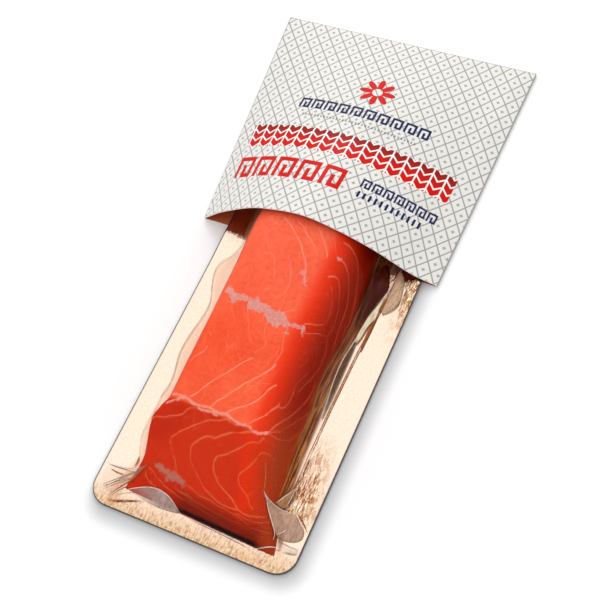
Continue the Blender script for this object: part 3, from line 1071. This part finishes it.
profile = node(crease_tree, "GeometryNodeCurvePrimitiveCircle", {"Resolution": 6, "Radius": 0.5})
swept = node(crease_tree, "GeometryNodeCurveToMesh", {
    "Curve": thick.outputs[0], "Profile Curve": profile.outputs[0], "Fill Caps": True,
})
crease_tree.links.new(radius, swept.inputs["Scale"])
smooth = node(crease_tree, "GeometryNodeSetShadeSmooth", {"Geometry": swept.outputs[0]})
real = node(crease_tree, "GeometryNodeRealizeInstances", {"Geometry": smooth.outputs[0]})
finish = {"Geometry": real.outputs[0], "Material": given.outputs["Material"]}
dressed = node(crease_tree, "GeometryNodeSetMaterial", finish)
node(crease_tree, "NodeGroupOutput", {"Geometry": dressed.outputs[0]})

for name, creases, width, colour, alpha in (
    ("white", WHITE_CREASES, 0.50, (1.0, 0.84, 0.76), 0.90),
    ("amber", AMBER_CREASES, 0.65, (0.48, 0.155, 0.020), 0.95),
    ("gold", GOLD_CREASES, 0.50, (0.66, 0.26, 0.06), 0.75),
    ("grey", GREY_CREASES, 0.45, (0.44, 0.29, 0.20), 0.36),
):
    points, edges = [], []
    for crease in creases:
        run = rounded_line(crease)
        edges += [(len(points) + k, len(points) + k + 1) for k in range(len(run) - 1)]
        points += lay(run).tolist()
    mesh = bpy.data.meshes.new(f"film_creases_{name}")
    mesh.from_pydata(points, edges, [])
    folded, tree, shader, place = new_material(f"film crease {name}")
    patchy = noise_texture(place, 300.0, 3.0, 0.6)
    give(shader, {
        "Base Color": mix_colour(patchy, [CREASE_DARK * c for c in colour], colour),
        "Alpha": step_between(patchy, 0.3, 0.55, CREASE_THIN * alpha, alpha),
        "Roughness": 0.25,
        "Specular IOR Level": 0.15,
    })
    folds = add_piece(f"film_creases_{name}", mesh, [])
    sweep = folds.modifiers.new("crease", "NODES")
    sweep.node_group = crease_tree
    sweep[width_id] = width * METRE
    sweep[step_id] = CREASE_STEP * METRE
    sweep[finish_id] = folded
    make_plain(folds)
    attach(folds, "root")


# Sleeve: one strip of white board folded and glued into a flat tube, printed on its front panel
# and brown inside. The fish bulges it open at the mouth, and it is pressed flat at its far end.

MOUTH_Y = 149.7
FAR_END_Y = 278.6
MOUTH_WIDTH = 120.8
FAR_END_WIDTH = 135.2
MOUTH_MIDDLE_X = -3.0
FAR_END_MIDDLE_X = -7.2
BOARD_THICKNESS = 0.45
FLAT_TUBE_HEIGHT = 1.4
MOUTH_RISE = 29.2
CARD_LIFT = 1.9
LIFT_SHARE = 0.062
LIFT_FADE_Y = 246.0
MOUTH_LINE = np.array((
    (0.0, 0.0), (0.11, 0.40), (0.31, 0.875), (0.475, 1.0),
    (0.62, 0.835), (0.745, 0.585), (0.935, 0.07), (1.0, 0.0),
))
SLEEVE_ROWS = 70
SLEEVE_COLUMNS = 130
FOLD_ANGLE = math.radians(40)


def panel_points(ys, u, inset):
    """Points of the front panel at stations and shares of its width."""
    share = ((ys - MOUTH_Y) / (FAR_END_Y - MOUTH_Y))[:, None]
    half = (MOUTH_WIDTH + (FAR_END_WIDTH - MOUTH_WIDTH) * share) / 2 - inset
    middle = MOUTH_MIDDLE_X + (FAR_END_MIDDLE_X - MOUTH_MIDDLE_X) * share
    lift = CARD_LIFT * np.minimum((FAR_END_Y - ys) / (FAR_END_Y - LIFT_FADE_Y), 1.0)[:, None]
    bulge = MOUTH_RISE * (1 - share) * smooth_line(MOUTH_LINE[:, 0], MOUTH_LINE[:, 1], u)[None, :]
    held = lift * np.minimum(np.minimum(u, 1 - u) / LIFT_SHARE, 1.0)[None, :]
    z = FLAT_TUBE_HEIGHT - inset + (bulge**4 + held**4) ** 0.25
    x = middle + half * (2 * u - 1)[None, :]
    return np.stack([x, np.repeat(ys[:, None], len(u), axis=1), z], axis=-1)


def tube_wall(inset):
    """Closed rings of the tube, front panel then back panel, and the way across the board."""
    ys = np.linspace(MOUTH_Y, FAR_END_Y, SLEEVE_ROWS)
    u = np.linspace(0, 1, SLEEVE_COLUMNS)
    front = panel_points(ys, u, inset)
    back = front[:, ::-1].copy()
    back[..., 2] = inset
    run = np.cumsum(np.linalg.norm(np.diff(front, axis=1), axis=2), axis=1)
    run = np.concatenate([np.zeros((len(ys), 1)), run], axis=1)
    run = run - run[:, -1:] / 2
    return np.concatenate([front, back], axis=1), np.concatenate([run, run[:, ::-1]], axis=1)


outer, outer_run = tube_wall(0.0)
inner, inner_run = tube_wall(BOARD_THICKNESS)
tube = np.concatenate([outer, inner[::-1]], axis=0)
to_fold = np.abs(outer_run).max(axis=1)[:, None] - np.abs(outer_run)
to_fold = np.concatenate([to_fold, np.full_like(inner_run, FAR_AWAY)])
sleeve_mesh = grid_mesh(
    "board_sleeve",
    lay(tube),
    {
        "print_across": np.concatenate([outer_run, inner_run[::-1]]),
        "print_along": tube[..., 1] - MOUTH_Y,
        "from_edge": np.minimum(FAR_END_Y - tube[..., 1], to_fold),
    },
    ring=True,
    looped=True,
)
PRINTED, PLAIN, BROWN, CUT = 0, 1, 2, 3
ring_faces = 2 * SLEEVE_COLUMNS
row_kind = np.full(2 * SLEEVE_ROWS, PRINTED)
row_kind[SLEEVE_ROWS - 1] = CUT
row_kind[SLEEVE_ROWS:-1] = BROWN
row_kind[-1] = CUT
kinds = np.repeat(row_kind[:, None], ring_faces, axis=1)
kinds[: SLEEVE_ROWS - 1, SLEEVE_COLUMNS - 1 :] = PLAIN
sleeve_mesh.polygons.foreach_set("material_index", kinds.ravel().astype(np.int32))
shell = bmesh.new()
shell.from_mesh(sleeve_mesh)
bmesh.ops.recalc_face_normals(shell, faces=shell.faces)
shell.to_mesh(sleeve_mesh)
shell.free()
sleeve_mesh.shade_smooth()
sleeve_mesh.set_sharp_from_angle(angle=FOLD_ANGLE)

PAPER = (0.80, 0.785, 0.75)
PAPER_CLOUD = 0.97
PAPER_FIBRE = 0.93
PATTERN_GREY = (0.37, 0.35, 0.33)
EDGE_GREY = (0.34, 0.33, 0.32)
PRINT_RED = (0.62, 0.006, 0.002)
PRINT_NAVY = (0.006, 0.014, 0.085)
INSIDE_BROWNS = ((0.48, 0.11, 0.035), (0.60, 0.16, 0.06))
CUT_WHITES = ((0.82, 0.80, 0.77), (0.92, 0.91, 0.89))
INK_EDGE = 0.12
DASH_EDGE = 0.10
LATTICE_ACROSS = 7.4
LATTICE_ALONG = 9.6
LATTICE_LINE = 0.33
CROSS_ARM = 0.85
CROSS_LINE = 0.30

# Left, right, low and high side of the band, and of a spiral's strokes in widths of a stroke
BAND = (-57.0, 54.0, 41.6, 56.2)
SPIRAL = (
    (0.0, 1.0, 0.0, 5.0), (0.0, 5.0, 4.0, 5.0), (4.0, 5.0, 0.0, 5.0), (2.0, 5.0, 0.0, 1.0),
    (2.0, 3.0, 0.0, 3.0),
)
SPIRAL_STROKES = 5
BAND_DARKENS = (47.0, 55.5)
BAND_DARK_RED = (0.30, 0.010, 0.006)
BAND_WHITE = (0.93, 0.91, 0.88)
CHEVRON_WIDTH = 3.5
CHEVRON_SLOPE = 0.9
STRIPE_PITCH = 2.43
STRIPE_GAP = 0.55
UPRIGHT_GAP = 0.40
ROSE_ACROSS = -1.5
ROSE_ALONG = 89.0
ROSE_PETALS = 8.0
ROSE_HOLE = 2.6
PETAL_START = 3.2
PETAL_LENGTH = 6.2


def least(*values):
    """Least of several values."""
    found = values[0]
    for value in values[1:]:
        found = calc("MINIMUM", found, value)
    return found


def inside_box(x, y, left, right, low, high):
    """How far inside an upright box a place lies, negative outside it."""
    return least(minus(x, left), minus(right, x), minus(y, low), minus(high, y))


def ink(depth, edge=INK_EDGE):
    """Coverage of a printed shape, from the depth inside it."""
    return step_between(depth, -edge, edge)


def lattice(across, along):
    """Crossed slanting lines with a small upright cross in each diamond."""
    a = calc("DIVIDE", across, LATTICE_ACROSS)
    b = calc("DIVIDE", along, LATTICE_ALONG)
    first = minus(calc("FRACT", plus(a, b)), 0.5)
    second = minus(calc("FRACT", minus(a, b)), 0.5)
    widest = calc("MAXIMUM", calc("ABSOLUTE", first), calc("ABSOLUTE", second))
    apart = LATTICE_ACROSS * LATTICE_ALONG / math.hypot(LATTICE_ACROSS, LATTICE_ALONG)
    lines = calc("MULTIPLY_ADD", minus(0.5, widest), -apart, LATTICE_LINE)
    u = calc("ABSOLUTE", times(plus(first, second), LATTICE_ACROSS / 2))
    v = calc("ABSOLUTE", times(minus(first, second), LATTICE_ALONG / 2))
    arms = minus(CROSS_LINE, calc("MINIMUM", u, v))
    cross = least(arms, minus(CROSS_ARM, calc("MAXIMUM", u, v)))
    return calc("MAXIMUM", ink(lines), ink(cross))


def reach_of(x, y):
    """Length of the way given by its shares along two axes."""
    return calc("SQRT", plus(calc("POWER", x, 2.0), calc("POWER", y, 2.0)))


def spiral_row(across, along, start, end, foot, height, pitch):
    """Row of upright square spirals, each five strokes wide and high, as a key border has them."""
    wide, high = pitch / (SPIRAL_STROKES + 1), height / SPIRAL_STROKES
    x = calc("FRACT", calc("DIVIDE", minus(across, start), pitch))
    x = times(x, SPIRAL_STROKES + 1.0)
    y = calc("DIVIDE", minus(along, foot), high)
    depth = inside_box(x, y, *SPIRAL[0])
    for box in SPIRAL[1:]:
        depth = calc("MAXIMUM", depth, inside_box(x, y, *box))
    row = inside_box(across, along, start, end, foot - 1, foot + height + 1)
    return ink(least(times(depth, min(wide, high)), row))


def dash_row(across, along, start, end, foot, height, pitch, share):
    """Row of short upright dashes."""
    x = times(calc("FRACT", calc("DIVIDE", minus(across, start), pitch)), pitch)
    dash = inside_box(x, along, 0.0, share * pitch, foot, foot + height)
    row = inside_box(across, along, start, end, foot - 1, foot + height + 1)
    return ink(least(dash, row), DASH_EDGE)


# Rows of print: across from and to, along from the foot up, the pitch, and of dashes their share of
# it, then how full the ink is
PRINTED_ROWS = (
    (spiral_row, (-55.6, 8.4, 21.2, 13.2, 12.8), 1.0, PRINT_RED),
    (spiral_row, (-37.0, 33.5, 69.4, 6.6, 7.05), 1.0, PRINT_NAVY),
    (dash_row, (-32.4, 28.4, 64.0, 1.5, 1.7, 0.5), 0.6, PRINT_NAVY),
    (spiral_row, (14.4, 54.4, 28.2, 5.4, 5.75), 1.0, PRINT_NAVY),
    (dash_row, (15.0, 49.6, 22.0, 3.8, 2.9, 0.42), 1.0, PRINT_NAVY),
)


def board_colour(tree, place):
    """Paper white with faint fibres, greyer along its folds, and the noise of the fibres."""
    fibres = noise_texture(place, 900.0, 4.0, 0.65)
    cloud = noise_texture(place, 28.0, 2.0, 0.5)
    paper = mix_colour(step_between(cloud, 0.3, 0.7), [PAPER_CLOUD * c for c in PAPER], PAPER)
    paper = mix_colour(step_between(fibres, 0.3, 0.7, 0.0, 0.25), paper, [PAPER_FIBRE * c for c in PAPER])
    folded = step_between(attribute(tree, "from_edge"), 0.5, 0.1)
    return mix_colour(folded, paper, EDGE_GREY), fibres


def board_finish(shader, colour, fibres):
    """Gives board its colour, its faint fibres and its dull shine."""
    give(shader, {
        "Base Color": colour,
        "Normal": bumped(fibres, 0.08, 0.0002),
        "Roughness": 0.38,
        "Specular IOR Level": 0.08,
    })


printed, tree, shader, place = new_material("printed board")
a, b = attribute(tree, "print_across"), attribute(tree, "print_along")
colour, fibres = board_colour(tree, place)
colour = mix_colour(lattice(a, b), colour, PATTERN_GREY)

band = inside_box(a, b, *BAND)
zigzag = times(calc("PINGPONG", a, CHEVRON_WIDTH), CHEVRON_SLOPE)
stripes = minus(calc("PINGPONG", plus(b, zigzag), STRIPE_PITCH), STRIPE_GAP)
uprights = minus(calc("PINGPONG", a, CHEVRON_WIDTH), UPRIGHT_GAP)
band_red = mix_colour(step_between(b, *BAND_DARKENS), PRINT_RED, BAND_DARK_RED)
colour = mix_colour(ink(band), colour, BAND_WHITE)
colour = mix_colour(ink(least(band, stripes, uprights)), colour, band_red)

across_rose, along_rose = minus(a, ROSE_ACROSS), minus(b, ROSE_ALONG)
angle = calc("ARCTAN2", along_rose, across_rose)
reach = reach_of(across_rose, along_rose)
petal = calc("ABSOLUTE", calc("COSINE", times(angle, ROSE_PETALS / 2)))
petal = calc("MULTIPLY_ADD", petal, PETAL_LENGTH, PETAL_START)
rose = least(minus(petal, reach), minus(reach, ROSE_HOLE))
colour = mix_colour(ink(rose), colour, PRINT_RED)

for row, measures, strength, row_ink in PRINTED_ROWS:
    colour = mix_colour(times(row(a, b, *measures), strength), colour, row_ink)
board_finish(shader, colour, fibres)

plain, tree, shader, place = new_material("patterned board")
a, b = attribute(tree, "print_across"), attribute(tree, "print_along")
colour, fibres = board_colour(tree, place)
board_finish(shader, mix_colour(lattice(a, b), colour, PATTERN_GREY), fibres)

brown, tree, shader, place = new_material("brown board inside")
fibres = noise_texture(place, 1000.0, 4.0, 0.65)
board_finish(shader, mix_colour(fibres, *INSIDE_BROWNS), fibres)

cut_white, tree, shader, place = new_material("cut board edge")
fibres = noise_texture(place, 1600.0, 4.0, 0.65)
board_finish(shader, mix_colour(fibres, *CUT_WHITES), fibres)

sleeve = add_piece("board_sleeve", sleeve_mesh, [printed, plain, brown, cut_white])
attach(sleeve, "root")
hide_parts("printed_sleeve")


# Floor: a plain white floor that the pack lies on. The wide soft shadow right of the card and below
# it is part of the floor's colour.

FLOOR_SIZE = 3.0
FLOOR_DROP = 0.0002
FLOOR_WHITES = ((0.97, 0.97, 0.97), (0.99, 0.99, 0.99))
SHADOW_SHIFT = (3.0, -3.0)
SHADOW_FADE = (-3.0, 6.5)
SHADOW_GREY = (0.60, 0.60, 0.61)

floor_mesh = bpy.data.meshes.new("floor")
shell = bmesh.new()
bmesh.ops.create_grid(shell, x_segments=1, y_segments=1, size=FLOOR_SIZE)
bmesh.ops.translate(shell, verts=shell.verts, vec=(0.0, 0.0, -FLOOR_DROP))
shell.to_mesh(floor_mesh)
shell.free()

floor_white, tree, shader, place = new_material("floor")
card_middle = (CARD_MIDDLE_X, (card_low[1] + CARD_END_Y) / 2)
card_half = (card_high[0] - CARD_MIDDLE_X, (CARD_END_Y - card_low[1]) / 2)
axes = node(tree, "ShaderNodeSeparateXYZ", {0: place}).outputs
apart = []
for k, shift in enumerate(SHADOW_SHIFT):
    away = calc("ABSOLUTE", minus(axes[k], card_middle[k] + shift * METRE))
    apart.append(calc("MAXIMUM", minus(away, card_half[k] - CARD_CORNER_RADIUS * METRE), 0.0))
outside = calc("MULTIPLY_ADD", reach_of(*apart), 1 / METRE, -CARD_CORNER_RADIUS)
white = mix_colour(noise_texture(place, 3.0), *FLOOR_WHITES)
give(shader, {
    "Base Color": mix_colour(step_between(outside, *SHADOW_FADE), SHADOW_GREY, white),
    "Roughness": 0.9,
    "Specular IOR Level": 0.1,
})
add_piece("floor", floor_mesh, [floor_white])


# Light: a pale room that is brightest above the pack's far left, and one soft lamp low on that
# side, whose shadows fall to the right and below.

LAMP_PLACE = (-0.25, 0.70, 0.50)
LAMP_SIZE = 0.30
LAMP_POWER = 1.6
BRIGHT_WAY = (-0.15, 0.55, 0.82)
ROOM_DIM = 0.72
ROOM_BRIGHT = 1.13

lamp_data = bpy.data.lights.new("lamp", "AREA")
lamp_data.size = LAMP_SIZE
lamp_data.energy = LAMP_POWER
lamp = bpy.data.objects.new("lamp", lamp_data)
lamp.location = LAMP_PLACE
lamp.rotation_euler = (-Vector(LAMP_PLACE)).to_track_quat("-Z", "Y").to_euler()
bpy.context.scene.collection.objects.link(lamp)

world = bpy.data.worlds.new("room")
bpy.context.scene.world = world
world.use_nodes = True
tree = world.node_tree
way = node(tree, "ShaderNodeTexCoord").outputs["Generated"]
towards = node(tree, "ShaderNodeVectorMath", {0: way, 1: BRIGHT_WAY}, operation="DOT_PRODUCT")
strength = step_between(towards.outputs["Value"], 0.1, 0.9, ROOM_DIM, ROOM_BRIGHT)
give(tree.nodes["Background"], {"Strength": strength, "Color": (1.0, 1.0, 1.0, 1.0)})
bpy.context.scene.view_settings.view_transform = "Standard"
